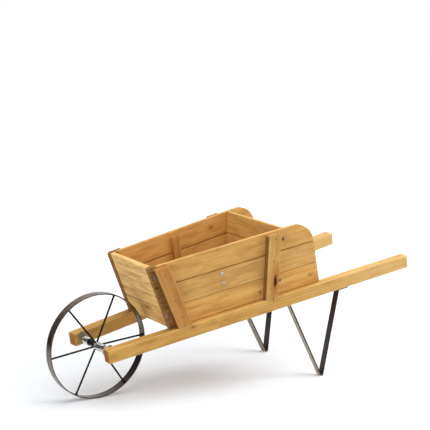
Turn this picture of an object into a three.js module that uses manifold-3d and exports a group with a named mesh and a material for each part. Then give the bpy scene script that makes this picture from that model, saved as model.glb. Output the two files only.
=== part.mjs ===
// Flower cart stand: a one-wheeled garden cart that holds pots in a board box between two long rails.
// Units are millimetres and degrees. X runs from the wheel to the handles, Y across, Z up.
// "left" is the -Y side, which is on the left hand of someone who holds the handles.

import * as THREE from 'three';
import { mergeVertices } from 'three/addons/utils/BufferGeometryUtils.js';
import Module from 'manifold-3d';

const wasm = await Module();
wasm.setup();

// ---- driving sizes ----------------------------------------------------------------------------

// Rails: two straight square bars that spread and climb from the axle to the handles.
const railLength = 935;
const railWidth = 30;
const railHeight = 35;
const railCorner = 3;
const railEase = 1.5;
const railNose = 21;
const railSpacing = 154;
const railSplay = 5;
const railClimb = 10.6;

// Box: three boards a side that stand on the rails, with the front and rear boards between them.
const boardThickness = 12;
const boardWidths = [57, 61.5, 58.5];
const boardJoint = 0.5;
const boardEase = 0.8;
const sideLean = 2;
const sideFrontFoot = 165.5;
const sideFrontTop = 126.5;
const sideRearFoot = 631.5;
const sideRearTop = 624.5;
const sideRearRound = 57;
const frontRecess = 3;
const rearPanelFoot = 501.5;
const rearPanelTop = 539;

// Battens: upright strips outside the side boards, flush with the rails' outer faces.
const frontBattenFoot = 184.5;
const frontBattenTop = 138.5;
const frontBattenWidth = 41.5;
const rearBattenFoot = 449.5;
const rearBattenTop = 482;
const rearBattenWidth = 38.5;
const battenTopDrop = 2.5;
const battenCorner = 4;

// Inside the box: a cleat and a ledger on each side, and loose-laid floor slats on the ledgers.
const ledgerSize = 12;
const ledgerEndGap = 2;
const slatCount = 5;
const slatThickness = 9;
const slatGap = 12;
const cleatPlace = 339;
const cleatWidth = 22;
const cleatThickness = 12;
const cleatTopDrop = 12;

// Legs: one bent steel strap under each rail.
const strapWidth = 20;
const strapThickness = 4;
const strapBend = 2;
const legFront = 525.5;
const legSpread = 160;
const legInset = 11.6;
const legLean = 3.2;
const legFlange = 30;
const legScrewPlace = 18;
const legTenon = 12;

// Wheel and axle.
const wheelRadius = 140;
const rimWidth = 25;
const rimThickness = 3;
const spokeDiameter = 5;
const spokeAngles = [4.5, 68.3, 128.5, 188, 244.8, 307.3];
const spokeOffsets = [-0.4, 1.8, -2.7, 1.7, -0.1, 3.6];
const hubDiameter = 16;
const hubLeftReach = 3;
const hubRightReach = 33.5;
const axleDiameter = 12;
const axleDepth = 18;
const collarDiameter = 22;
const leftCollarLength = 36;
const rightCollarLength = 31;
const plateWidth = 18;
const plateThickness = 3;
const plateRise = 2.5;
const plateDrop = 15;

// Screws.
const cornerScrew = { head: 7.5, shank: 3.8, length: 34, countersink: 2.2, dome: 0 };
const cleatScrew = { head: 8.5, shank: 3.6, length: 21, countersink: 0, dome: 2.4 };
const legScrew = { head: 8.5, shank: 4, length: 22, countersink: 0, dome: 2.6 };
const cornerScrewHeights = [37, 148];
const cleatScrewHeights = [79, 106];
const domeFlat = 0.6;
const domeEdge = 0.45;

// Clearances.
const seatGap = 0.3;
const runningGap = 0.1;
const screwGap = 0.25;
const endGap = 0.5;
const drillHeadroom = 1;

// Facet counts.
const roundSides = 32;
const rimSides = 72;
const spokeSides = 10;
const screwSides = 12;
const bendSteps = 12;

// ---- values that follow from them -------------------------------------------------------------

const rad = THREE.MathUtils.degToRad;
const boardTops = boardWidths.map((_, i) => boardWidths.slice(0, i + 1).reduce((sum, width) => sum + width));
const sideHeight = boardTops.at(-1);
const battenThickness = railWidth - boardThickness - seatGap;
const sideLift = boardThickness * Math.sin(rad(sideLean)) + seatGap;

const atHeight = (foot, top, h) => foot + (top - foot) * h / sideHeight;
const frontEdgeAt = (h) => atHeight(sideFrontFoot, sideFrontTop, h);
const rearEdgeAt = (h) => atHeight(sideRearFoot, sideRearTop, h);
const frontPanelAt = (h) => frontEdgeAt(h) + frontRecess;
const rearPanelAt = (h) => atHeight(rearPanelFoot, rearPanelTop, h);
const slopeStretch = (foot, top) => Math.hypot(1, (top - foot) / sideHeight);
const frontStretch = slopeStretch(sideFrontFoot, sideFrontTop);
const rearStretch = slopeStretch(rearPanelFoot, rearPanelTop);

const wood = { color: 0xc8924f, roughness: 0.62, metalness: 0 };
const paleWood = { color: 0xdcb06c, roughness: 0.6, metalness: 0 };
const darkSteel = { color: 0x3a322c, roughness: 0.5, metalness: 0.7 };
const rimSteel = { color: 0x7a6e64, roughness: 0.42, metalness: 0.85 };
const blackRod = { color: 0x17130f, roughness: 0.5, metalness: 0.4 };
const zinc = { color: 0xc3c5c2, roughness: 0.28, metalness: 0.95 };

// ---- helpers ----------------------------------------------------------------------------------

function solidOf(geometry) {
  const bare = geometry.clone();
  bare.deleteAttribute('normal');
  bare.deleteAttribute('uv');
  const merged = mergeVertices(bare, 1e-4);
  return new wasm.Manifold(new wasm.Mesh({
    numProp: 3,
    vertProperties: new Float32Array(merged.attributes.position.array),
    triVerts: new Uint32Array(merged.index.array),
  }));
}

function geometryOf(solid) {
  const mesh = solid.getMesh();
  const geometry = new THREE.BufferGeometry();
  geometry.setAttribute('position', new THREE.BufferAttribute(new Float32Array(mesh.vertProperties), 3));
  geometry.setIndex(new THREE.BufferAttribute(new Uint32Array(mesh.triVerts), 1));
  return geometry;
}

function cut(geometry, ...tools) {
  let solid = solidOf(geometry);
  for (const tool of tools) solid = solid.subtract(solidOf(tool));
  return geometryOf(solid);
}

const root = new THREE.Group();
const nodes = {};

function addNode(parent, name, geometry, finish) {
  const mesh = new THREE.Mesh(geometry, new THREE.MeshStandardMaterial(finish));
  mesh.name = name;
  parent.add(mesh);
  nodes[name] = mesh;
  return mesh;
}

// Takes a tool, given in the frame of one group, out of nodes that live in others.
function drill(names, tool, group) {
  root.updateMatrixWorld(true);
  for (const name of names) {
    const mesh = nodes[name];
    const toMesh = mesh.matrixWorld.clone().invert().multiply(group.matrixWorld);
    mesh.geometry = cut(mesh.geometry, tool.clone().applyMatrix4(toMesh));
  }
}

// A flat outline in the (along, up) plane, made thick outward from the plane y = from.
function plate(shape, from, thickness, side, ease = 0) {
  const geometry = new THREE.ExtrudeGeometry(shape, {
    depth: thickness - 2 * ease,
    bevelEnabled: ease > 0,
    bevelThickness: ease,
    bevelSize: ease,
    bevelOffset: -ease,
    bevelSegments: 1,
    curveSegments: 10,
  });
  geometry.translate(0, 0, ease);
  geometry.rotateX(Math.PI / 2);
  geometry.translate(0, side > 0 ? from + thickness : -from, 0);
  return geometry;
}

const polygon = (points) => new THREE.Shape(points.map(([x, y]) => new THREE.Vector2(x, y)));

// A cylinder along Y between two places on its axis.
function cylinderAlongY(radius, yStart, yEnd, sides = roundSides) {
  const geometry = new THREE.CylinderGeometry(radius, radius, yEnd - yStart, sides);
  return geometry.translate(0, (yStart + yEnd) / 2, 0);
}

// A closed ring section turned about the Y axis.
function ringAlongY(inner, outer, yStart, yEnd, sides = roundSides) {
  const section = [[inner, yStart], [outer, yStart], [outer, yEnd], [inner, yEnd], [inner, yStart]];
  return new THREE.LatheGeometry(section.map(([r, y]) => new THREE.Vector2(r, y)), sides);
}

// The solid between six planes, from the points where they meet three by three.
function sixSided(low, high) {
  const corner = (a, b, c) => {
    const point = new THREE.Vector3().crossVectors(b.normal, c.normal).multiplyScalar(-a.constant);
    point.addScaledVector(new THREE.Vector3().crossVectors(c.normal, a.normal), -b.constant);
    point.addScaledVector(new THREE.Vector3().crossVectors(a.normal, b.normal), -c.constant);
    return point.divideScalar(a.normal.dot(new THREE.Vector3().crossVectors(b.normal, c.normal)));
  };
  const points = [];
  for (const z of [low.z, high.z]) {
    for (const y of [low.y, high.y]) {
      for (const x of [low.x, high.x]) points.push(corner(x, y, z));
    }
  }
  const geometry = new THREE.BufferGeometry().setFromPoints(points);
  const quads = [[0, 2, 3, 1], [4, 5, 7, 6], [0, 1, 5, 4], [2, 6, 7, 3], [0, 4, 6, 2], [1, 3, 7, 5]];
  geometry.setIndex(quads.flatMap(([a, b, c, d]) => [a, b, c, a, c, d]));
  return geometry;
}

// A screw with its head at y = 0 and its shank along +Y. With a margin it is its own drill.
function screw(size, margin = 0) {
  const head = size.head / 2 + margin;
  const shank = size.shank / 2 + margin;
  const tip = size.length + margin;
  const profile = [[0, -size.dome - margin]];
  if (size.dome > 0) profile.push([head * domeFlat, -size.dome - margin], [head, -size.dome * domeEdge]);
  profile.push([head, margin], [shank, size.countersink + margin]);
  profile.push([shank, tip - size.shank], [0, tip]);
  return new THREE.LatheGeometry(profile.map(([r, y]) => new THREE.Vector2(r, y)), screwSides);
}

// The outline of a strap of the given thickness whose middle line runs through the points,
// with every inner corner bent to the strap's inside radius.
function strapOutline(points, thickness, insideBend) {
  const middleBend = insideBend + thickness / 2;
  const line = [];
  points.forEach((point, i) => {
    const before = points[i - 1];
    const after = points[i + 1];
    if (!before || !after) {
      const along = (after ? after.clone().sub(point) : point.clone().sub(before)).normalize();
      line.push({ point, along });
      return;
    }
    const into = point.clone().sub(before).normalize();
    const out = after.clone().sub(point).normalize();
    const turn = Math.atan2(into.cross(out), into.dot(out));
    const start = point.clone().addScaledVector(into, -middleBend * Math.tan(Math.abs(turn) / 2));
    const normal = new THREE.Vector2(-into.y, into.x).multiplyScalar(Math.sign(turn));
    const centre = start.clone().addScaledVector(normal, middleBend);
    for (let step = 0; step <= bendSteps; step += 1) {
      const angle = turn * step / bendSteps;
      const origin = new THREE.Vector2();
      const along = into.clone().rotateAround(origin, angle);
      const spot = start.clone().rotateAround(centre, angle);
      line.push({ point: spot, along });
    }
  });
  const offset = ({ point, along }, by) => new THREE.Vector2(point.x - along.y * by, point.y + along.x * by);
  const leftSide = line.map((place) => offset(place, thickness / 2));
  const rightSide = line.map((place) => offset(place, -thickness / 2)).reverse();
  return new THREE.Shape([...leftSide, ...rightSide]);
}

// ---- the two mirrored halves: rail, side boards, battens, ledger, cleat ------------------------

const sides = [{ name: 'left', sign: -1 }, { name: 'right', sign: 1 }];

function addRail(half) {
  const { name, sign } = half;
  half.rail = new THREE.Group();
  half.rail.position.set(0, sign * railSpacing / 2, wheelRadius);
  half.rail.rotation.set(0, rad(-railClimb), sign * rad(railSplay), 'ZYX');
  root.add(half.rail);

  const [w, h, r] = [railHeight / 2, railWidth / 2, railCorner];
  const section = new THREE.Shape();
  section.absarc(w - r, h - r, r, 0, Math.PI / 2);
  section.absarc(-w + r, h - r, r, Math.PI / 2, Math.PI);
  section.absarc(-w + r, -h + r, r, Math.PI, 1.5 * Math.PI);
  section.absarc(w - r, -h + r, r, 1.5 * Math.PI, 2 * Math.PI);
  const bar = new THREE.ExtrudeGeometry(section, {
    depth: railLength - 2 * railEase,
    bevelThickness: railEase,
    bevelSize: railEase,
    bevelOffset: -railEase,
    bevelSegments: 2,
    curveSegments: 3,
  });
  bar.translate(0, 0, railEase);
  bar.rotateY(Math.PI / 2);
  bar.translate(-railNose, sign * railWidth / 2, 0);
  addNode(half.rail, `rail_${name}`, bar, paleWood);
}

// The outline of one side board between two heights, with the rear top corner rounded.
function sideBoardShape(low, high) {
  const rounded = high === sideHeight;
  const shape = new THREE.Shape();
  shape.moveTo(frontEdgeAt(low), low);
  shape.lineTo(rearEdgeAt(low), low);
  if (rounded) {
    const bend = Math.min(sideRearRound, high - low);
    const tilt = Math.atan2(sideRearTop - sideRearFoot, sideHeight);
    const centre = rearEdgeAt(high) - bend * (1 / Math.cos(tilt) + Math.tan(tilt));
    shape.absarc(centre, high - bend, bend, -tilt, Math.PI / 2);
  } else {
    shape.lineTo(rearEdgeAt(high), high);
  }
  shape.lineTo(frontEdgeAt(high), high);
  shape.closePath();
  return shape;
}

function addSide(half) {
  const { name, sign } = half;
  half.side = new THREE.Group();
  half.side.position.z = railHeight / 2 + sideLift;
  half.side.rotation.x = -sign * rad(sideLean);
  half.rail.add(half.side);

  let low = 0;
  boardWidths.forEach((width, i) => {
    const high = low + width;
    const bottom = i === 0 ? low : low + boardJoint;
    const board = plate(sideBoardShape(bottom, high), 0, boardThickness, sign, boardEase);
    addNode(half.side, `side_board_${name}_${i + 1}`, board, wood);
    low = high;
  });
}

function addBatten(half, label, foot, top, width) {
  const { name, sign } = half;
  const bottom = battenThickness * Math.tan(rad(sideLean));
  const high = sideHeight - battenTopDrop;
  const front = (h) => atHeight(foot, top, h);
  const outline = polygon([
    [front(bottom), bottom],
    [front(bottom) + width, bottom],
    [front(high - battenCorner) + width, high - battenCorner],
    [front(high) + width - battenCorner, high],
    [front(high) + battenCorner, high],
    [front(high - battenCorner), high - battenCorner],
  ]);
  const strip = plate(outline, boardThickness + seatGap, battenThickness, sign, boardEase);
  addNode(half.side, `batten_${name}_${label}`, strip, wood);
}

const ledgerStart = frontPanelAt(0) + boardThickness * frontStretch + ledgerEndGap;
const ledgerEnd = rearPanelAt(0) - boardThickness / 2 * rearStretch - ledgerEndGap;
const slatTop = ledgerSize + slatThickness + 2 * seatGap;

function addLedgerAndCleat(half) {
  const { name, sign } = half;
  const ledgerShape = polygon([
    [ledgerStart, 0], [ledgerEnd, 0], [ledgerEnd, ledgerSize], [ledgerStart, ledgerSize],
  ]);
  addNode(half.side, `ledger_${name}`, plate(ledgerShape, seatGap, ledgerSize, -sign), wood);

  const left = cleatPlace - cleatWidth / 2;
  const right = cleatPlace + cleatWidth / 2;
  const bottom = slatTop + endGap + ledgerSize * Math.sin(rad(sideLean));
  const top = sideHeight - cleatTopDrop;
  const cleatShape = polygon([[left, bottom], [right, bottom], [right, top], [left, top]]);
  addNode(half.side, `cleat_${name}`, plate(cleatShape, seatGap, cleatThickness, -sign, boardEase), wood);
}

for (const half of sides) {
  addRail(half);
  addSide(half);
  addBatten(half, 'front', frontBattenFoot, frontBattenTop, frontBattenWidth);
  addBatten(half, 'rear', rearBattenFoot, rearBattenTop, rearBattenWidth);
  addLedgerAndCleat(half);
}

// ---- boards that run across, cut to the slope of the side boards -------------------------------

// A group whose Y is the cart's and whose Z climbs from one place on the left side's inner face
// to another, both given as (along, up) with how far they lie inside that face.
function crossGroup(from, to, inside = 0) {
  root.updateMatrixWorld(true);
  const place = ([along, up]) => {
    const point = sides[0].side.localToWorld(new THREE.Vector3(along, inside, up));
    return point.setY(0);
  };
  const start = place(from);
  const zAxis = place(to).sub(start);
  const length = zAxis.length();
  zAxis.normalize();
  const yAxis = new THREE.Vector3(0, 1, 0);
  const group = new THREE.Group();
  group.position.copy(start);
  group.quaternion.setFromRotationMatrix(
    new THREE.Matrix4().makeBasis(new THREE.Vector3().crossVectors(yAxis, zAxis), yAxis, zAxis),
  );
  root.add(group);
  root.updateMatrixWorld(true);
  return { group, length };
}

// A board in such a group between x0 and x1 and between z0 and z1, fitted between the sides.
function crossBoard(name, group, [x0, x1], [z0, z1], finish) {
  const plane = (x, y, z, constant) => new THREE.Plane(new THREE.Vector3(x, y, z), constant);
  const toGroup = group.matrixWorld.clone().invert();
  const wall = ({ side, sign }) => {
    const face = plane(0, 1, 0, sign * endGap);
    return face.applyMatrix4(toGroup.clone().multiply(side.matrixWorld));
  };
  const low = { x: plane(1, 0, 0, -x0), y: wall(sides[0]), z: plane(0, 0, 1, -z0) };
  const high = { x: plane(1, 0, 0, -x1), y: wall(sides[1]), z: plane(0, 0, 1, -z1) };
  addNode(group, name, sixSided(low, high), finish);
}

function addPanel(label, foot, top, xRange) {
  const { group, length } = crossGroup([foot, 0], [top, sideHeight]);
  const scale = length / sideHeight;
  let low = 0;
  boardWidths.forEach((width, i) => {
    const high = low + width * scale;
    const bottom = i === 0 ? low : low + boardJoint;
    crossBoard(`${label}_board_${i + 1}`, group, xRange, [bottom, high], paleWood);
    low = high;
  });
}

addPanel('front', frontPanelAt(0), frontPanelAt(sideHeight), [0, boardThickness]);
addPanel('rear', rearPanelFoot, rearPanelTop, [-boardThickness / 2, boardThickness / 2]);

const floorFrame = crossGroup([ledgerStart, ledgerSize], [ledgerEnd, ledgerSize], ledgerSize + seatGap);
const slatPitch = (floorFrame.length + slatGap) / slatCount;
for (let i = 0; i < slatCount; i += 1) {
  const start = i * slatPitch;
  const reach = [start, start + slatPitch - slatGap];
  crossBoard(`floor_slat_${i + 1}`, floorFrame.group, [-seatGap - slatThickness, -seatGap], reach, wood);
}

// ---- legs -------------------------------------------------------------------------------------

// The strap's middle line in (along, up) from the top of the leg's group, which lies on the rail's
// underside. Its foot is set so deep that its lowest edge reaches the floor.
function legLine(half) {
  root.updateMatrixWorld(true);
  const [along, across, up] = [0, 1, 2].map((i) => (
    new THREE.Vector3().setFromMatrixColumn(half.leg.matrixWorld, i)
  ));
  const halfSpread = legSpread / 2;
  const top = half.leg.localToWorld(new THREE.Vector3(legFront + halfSpread, 0, 0));
  const tipRadius = strapBend + strapThickness;
  const lowest = tipRadius * Math.hypot(along.z, up.z) + strapWidth / 2 * Math.abs(across.z);
  const bendDepth = (top.z - lowest) / up.z;
  // The bend's centre lies above the corner of the V by its radius over the sine of the V's slant,
  // and that slant follows the corner's depth, which makes a quadratic for the depth.
  const bend = strapBend + strapThickness / 2;
  const narrow = 1 - (bend / halfSpread) ** 2;
  const corner = (bendDepth + Math.sqrt(bendDepth ** 2 - narrow * (bendDepth ** 2 - bend ** 2))) / narrow;
  const flangeDrop = strapThickness / 2 + strapWidth / 2 * Math.sin(rad(legLean)) + seatGap;
  const rearTop = new THREE.Vector2(legFront + legSpread - flangeDrop * halfSpread / corner, -flangeDrop);
  const foot = new THREE.Vector2(legFront + halfSpread, -corner);
  const frontTop = new THREE.Vector2(legFront, 0);
  const climb = frontTop.clone().sub(foot).normalize();
  return {
    head: frontTop.clone().addScaledVector(climb, legTenon),
    frontTop,
    foot,
    rearTop,
    flangeEnd: new THREE.Vector2(rearTop.x + legFlange, rearTop.y),
  };
}

function addLeg(half) {
  const { name, sign } = half;
  half.leg = new THREE.Group();
  half.leg.position.set(0, sign * legInset, -railHeight / 2);
  half.leg.rotation.x = -sign * rad(legLean);
  half.rail.add(half.leg);

  const line = legLine(half);
  const strap = (points, margin) => {
    const outline = strapOutline(points, strapThickness + 2 * margin, strapBend);
    return plate(outline, -strapWidth / 2 - margin, strapWidth + 2 * margin, sign);
  };
  const whole = strap([line.head, line.foot, line.rearTop, line.flangeEnd], 0);
  addNode(half.leg, `leg_${name}`, whole, darkSteel);
  const slotTop = line.head.clone().addScaledVector(line.head.clone().sub(line.foot).normalize(), seatGap);
  drill([`rail_${name}`], strap([slotTop, line.foot], seatGap), half.leg);

  const screwPlace = new THREE.Group();
  screwPlace.position.set(line.rearTop.x + legScrewPlace, 0, line.rearTop.y - strapThickness / 2 - seatGap);
  screwPlace.rotation.x = Math.PI / 2;
  half.leg.add(screwPlace);
  addNode(screwPlace, `leg_screw_${name}`, screw(legScrew), zinc);
  drill([`leg_${name}`, `rail_${name}`], screw(legScrew, screwGap), screwPlace);
}

sides.forEach(addLeg);

// ---- screws in the side boards ----------------------------------------------------------------

// A screw driven inward through a side at (along, up), and the holes it needs. A domed head sits
// just clear of the board's face and a flat one just below it.
function addSideScrew(half, name, size, along, up, pierced) {
  const lift = size.dome > 0 ? seatGap : -seatGap;
  const place = new THREE.Group();
  place.position.set(along, half.sign * (boardThickness + lift), up);
  place.rotation.x = half.sign > 0 ? Math.PI : 0;
  half.side.add(place);
  addNode(place, name, screw(size), zinc);
  drill(pierced, screw({ ...size, dome: size.dome + drillHeadroom }, screwGap), place);
}

const boardAt = (h) => boardTops.findIndex((top) => h < top) + 1;

for (const half of sides) {
  cornerScrewHeights.forEach((h, i) => {
    const board = boardAt(h);
    const frontMiddle = frontPanelAt(h) + boardThickness / 2 * frontStretch;
    addSideScrew(half, `screw_${half.name}_front_${i + 1}`, cornerScrew, frontMiddle, h,
      [`side_board_${half.name}_${board}`, `front_board_${board}`]);
    addSideScrew(half, `screw_${half.name}_rear_${i + 1}`, cornerScrew, rearPanelAt(h), h,
      [`side_board_${half.name}_${board}`, `rear_board_${board}`]);
  });
  cleatScrewHeights.forEach((h, i) => {
    addSideScrew(half, `screw_${half.name}_cleat_${i + 1}`, cleatScrew, cleatPlace, h,
      [`side_board_${half.name}_${boardAt(h)}`, `cleat_${half.name}`]);
  });
}

// ---- axle: a rod between the rails, a plate on each rail, two collars --------------------------

const axle = new THREE.Group();
axle.position.z = wheelRadius;
root.add(axle);

const axleHalf = railSpacing / 2 + axleDepth;
addNode(axle, 'axle_rod', cylinderAlongY(axleDiameter / 2, -axleHalf, axleHalf), zinc);

for (const { name, sign, rail } of sides) {
  const half = plateWidth / 2;
  const top = railHeight / 2 + plateRise;
  const shape = new THREE.Shape();
  shape.absarc(0, top - half, half, 0, Math.PI);
  shape.absarc(0, half - plateDrop, half, Math.PI, 2 * Math.PI);
  addNode(rail, `axle_plate_${name}`, plate(shape, seatGap, plateThickness, -sign), zinc);
  const bore = cylinderAlongY(axleDiameter / 2 + seatGap, -axleHalf - seatGap, axleHalf + seatGap);
  drill([`rail_${name}`, `axle_plate_${name}`], bore, axle);
}

const boreRadius = axleDiameter / 2 + runningGap;
const collarSpots = {
  left: [-hubLeftReach - endGap - leftCollarLength, -hubLeftReach - endGap],
  right: [hubRightReach + endGap, hubRightReach + endGap + rightCollarLength],
};
for (const [name, [from, to]] of Object.entries(collarSpots)) {
  addNode(axle, `collar_${name}`, ringAlongY(boreRadius, collarDiameter / 2, from, to), zinc);
}

// ---- wheel: flat band rim, six rods welded near the left end of a tube hub ----------------------

const wheel = new THREE.Group();
wheel.position.z = wheelRadius;
root.add(wheel);

const rimInside = wheelRadius - rimThickness;
const rim = ringAlongY(rimInside, wheelRadius, -rimWidth / 2, rimWidth / 2, rimSides);
addNode(wheel, 'wheel_rim', rim, rimSteel);
const hub = ringAlongY(boreRadius, hubDiameter / 2, -hubLeftReach, hubRightReach);
addNode(wheel, 'wheel_hub', hub, blackRod);

const spokeRadius = spokeDiameter / 2;
const spokeEnd = new THREE.Vector2(rimInside * Math.cos(Math.PI / rimSides) - seatGap, 0);
spokeAngles.forEach((angle, i) => {
  // The rods are welded on by eye: each meets the rim at its angle and passes the hub's centre at
  // its offset.
  const nearest = Math.max(Math.abs(spokeOffsets[i]) - spokeRadius, 0);
  const inner = new THREE.Vector2(Math.sqrt((hubDiameter / 2) ** 2 - nearest ** 2) + seatGap, spokeOffsets[i]);
  const rod = spokeEnd.clone().sub(inner);
  const middle = inner.addScaledVector(rod, 0.5);
  const geometry = new THREE.CylinderGeometry(spokeRadius, spokeRadius, rod.length(), spokeSides);
  geometry.rotateZ(rod.angle() - Math.PI / 2);
  geometry.translate(middle.x, middle.y, 0);
  geometry.rotateX(Math.PI / 2);
  geometry.rotateY(-rad(angle));
  addNode(wheel, `wheel_spoke_${i + 1}`, geometry, blackRod);
});

// ---- the cart stands on its wheel and feet, with the origin under the middle of its outline ----

root.updateMatrixWorld(true);
const bounds = new THREE.Box3().setFromObject(root, true);
const centre = bounds.getCenter(new THREE.Vector3());
root.position.set(-centre.x, -centre.y, -bounds.min.z);

export default root;
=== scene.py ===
# Flower cart stand: the looks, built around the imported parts. Sizes below are millimetres unless noted.
import math
import bpy
import numpy as np
from mathutils import Matrix, Vector


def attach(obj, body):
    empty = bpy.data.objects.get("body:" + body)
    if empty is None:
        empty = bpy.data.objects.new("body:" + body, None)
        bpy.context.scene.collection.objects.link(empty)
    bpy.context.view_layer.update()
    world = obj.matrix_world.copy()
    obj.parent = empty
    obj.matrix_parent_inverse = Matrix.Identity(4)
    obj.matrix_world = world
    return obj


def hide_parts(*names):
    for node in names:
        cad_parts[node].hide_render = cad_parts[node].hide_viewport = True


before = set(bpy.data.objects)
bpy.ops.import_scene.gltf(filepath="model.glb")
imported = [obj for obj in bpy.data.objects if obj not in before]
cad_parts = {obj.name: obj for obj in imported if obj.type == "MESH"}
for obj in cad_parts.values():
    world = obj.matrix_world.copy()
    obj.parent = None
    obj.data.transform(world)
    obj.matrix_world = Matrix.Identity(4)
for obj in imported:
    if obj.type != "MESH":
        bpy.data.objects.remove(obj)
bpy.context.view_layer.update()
print("frame loaded:", len(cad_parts), "nodes")

mm = 0.001
sides = {"left": -1, "right": 1}
pieceCount = 0

# ---- small tools -----------------------------------------------------------------------------


def toLinear(hexColour):  # sRGB hex to the linear RGBA that a shader takes
    parts = [int(hexColour[i:i + 2], 16) / 255 for i in (0, 2, 4)]
    return tuple(c / 12.92 if c <= 0.04045 else ((c + 0.055) / 1.055) ** 2.4 for c in parts) + (1.0,)


def addNode(tree, kind, inputs=None, **settings):  # one node, its settings, its values and its links
    made = tree.nodes.new("ShaderNode" + kind)
    for key, value in settings.items():
        setattr(made, key, value)
    for socket, value in (inputs or {}).items():
        if isinstance(value, bpy.types.NodeSocket):
            tree.links.new(value, made.inputs[socket])
        else:
            made.inputs[socket].default_value = value
    return made


def newMaterial(name):  # an empty material with its output and its principled shader
    made = bpy.data.materials.new(name)
    made.use_nodes = True
    made.node_tree.nodes.clear()
    tree = made.node_tree
    shader = addNode(tree, "BsdfPrincipled")
    addNode(tree, "OutputMaterial", {"Surface": shader.outputs[0]})
    return made, tree, shader


def turn(axis, degrees):
    return Matrix.Rotation(math.radians(degrees), 4, axis)


def shift(x, y, z):
    return Matrix.Translation((x, y, z))


def gridFaces(rows, cols, closeRows=False):  # quads of a grid whose columns run round a closed loop
    a = np.arange(rows if closeRows else rows - 1)[:, None]
    b = np.arange(cols)[None, :]
    nextA, nextB = (a + 1) % rows, (b + 1) % cols
    quads = np.stack([a * cols + b, a * cols + nextB, nextA * cols + nextB, nextA * cols + b], -1)
    return quads.reshape(-1, 4)


def makePiece(name, grid, place, material, body="frame", stands=(), closeRows=False,
              poles=None, marks=None):
    # Puts a grid of points, closed round its columns, into a mesh object. poles are the two points
    # that close its ends. The faces turn outwards by the sign of the volume they hold.
    global pieceCount
    rows, cols = grid.shape[:2]
    points = grid.reshape(-1, 3)
    quads = gridFaces(rows, cols, closeRows)
    tris = np.zeros((0, 3), int)
    if poles is not None:
        points = np.vstack([points, poles])
        loop = np.arange(cols)
        first, last = rows * cols, rows * cols + 1
        start = np.stack([np.full(cols, first), (loop + 1) % cols, loop], -1)
        rim = (rows - 1) * cols
        end = np.stack([np.full(cols, last), rim + loop, rim + (loop + 1) % cols], -1)
        tris = np.vstack([start, end])
    halves = np.vstack([quads[:, [0, 1, 2]], quads[:, [0, 2, 3]], tris])
    corner = points[halves]
    volume = np.einsum("ij,ij->i", corner[:, 0], np.cross(corner[:, 1], corner[:, 2])).sum()
    placed = np.c_[points, np.ones(len(points))] @ np.array(place).T
    flip = (volume < 0) != (place.determinant() < 0)
    faces = [list(face[::-1] if flip else face) for face in quads.tolist() + tris.tolist()]
    mesh = bpy.data.meshes.new(name)
    mesh.from_pydata((placed[:, :3] * mm).tolist(), [], faces)
    for key, values in (marks or {}).items():
        attribute = mesh.attributes.new(key, "FLOAT", "POINT")
        flat = np.zeros(len(points), np.float32)
        flat[:rows * cols] = values.ravel()
        if poles is not None:
            flat[rows * cols:] = values[0, 0], values[-1, 0]
        attribute.data.foreach_set("value", flat)
    mesh.shade_smooth()
    mesh.update()
    piece = bpy.data.objects.new(name, mesh)
    bpy.context.scene.collection.objects.link(piece)
    piece.data.materials.append(material)
    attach(piece, body)
    if stands:
        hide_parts(*stands)
    pieceCount += 1
    return piece


def roundedLoop(low, high, radius, arcSteps=4, ySteps=6, zSteps=2, yExtra=()):
    # The outline of a rounded rectangle in (y, z), with its outward normals and a mark that is one
    # in the middle of each rounded corner: above zero at the high side, below zero at the low side.
    # Points lie close beside each corner so that flats stay flat.
    (y0, z0), (y1, z1) = low, high
    guard = 0.35
    points, normals, arris = [], [], []

    def sweep(centreY, centreZ, startDegrees):
        for angle in np.radians(startDegrees + np.linspace(0, 90, arcSteps + 1)):
            points.append((centreY + radius * math.cos(angle), centreZ + radius * math.sin(angle)))
            normals.append((math.cos(angle), math.sin(angle)))
            arris.append(abs(math.sin(2 * angle)) * (1 if centreY > (y0 + y1) / 2 else -1))

    def flat(start, end, steps, normal, fixed, along, extra=()):
        sign = 1 if end > start else -1
        inner = np.linspace(start, end, steps + 1)[1:-1].tolist()
        spots = [start + sign * guard, *inner, *extra, end - sign * guard]
        for spot in sorted(set(spots), reverse=sign < 0):
            points.append((spot, fixed) if along == "y" else (fixed, spot))
            normals.append(normal)
            arris.append(0.0)

    sweep(y1 - radius, z1 - radius, 0)
    flat(y1 - radius, y0 + radius, ySteps, (0, 1), z1, "y", yExtra)
    sweep(y0 + radius, z1 - radius, 90)
    flat(z1 - radius, z0 + radius, zSteps, (-1, 0), y0, "z")
    sweep(y0 + radius, z0 + radius, 180)
    flat(y0 + radius, y1 - radius, ySteps, (0, -1), z0, "y", yExtra)
    sweep(y1 - radius, z0 + radius, 270)
    flat(z0 + radius, z1 - radius, zSteps, (1, 0), y1, "z")
    return np.array(points), np.array(normals), np.array(arris)


def handWork(x, y, z, seed, depth):
    # A slow unevenness, from nothing to the given depth, made of four sine waves along the grain.
    rng = np.random.default_rng(seed)
    total = np.zeros_like(x)
    for length in (310.0, 170.0, 90.0, 47.0):
        a, b, c = rng.uniform(0, 6.28, 3)
        total += np.sin(x * 6.28 / length + a) * np.cos(y / 19 + b) * np.cos(z / 13 + c)
    return depth * (total / 8 + 0.5)


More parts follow.
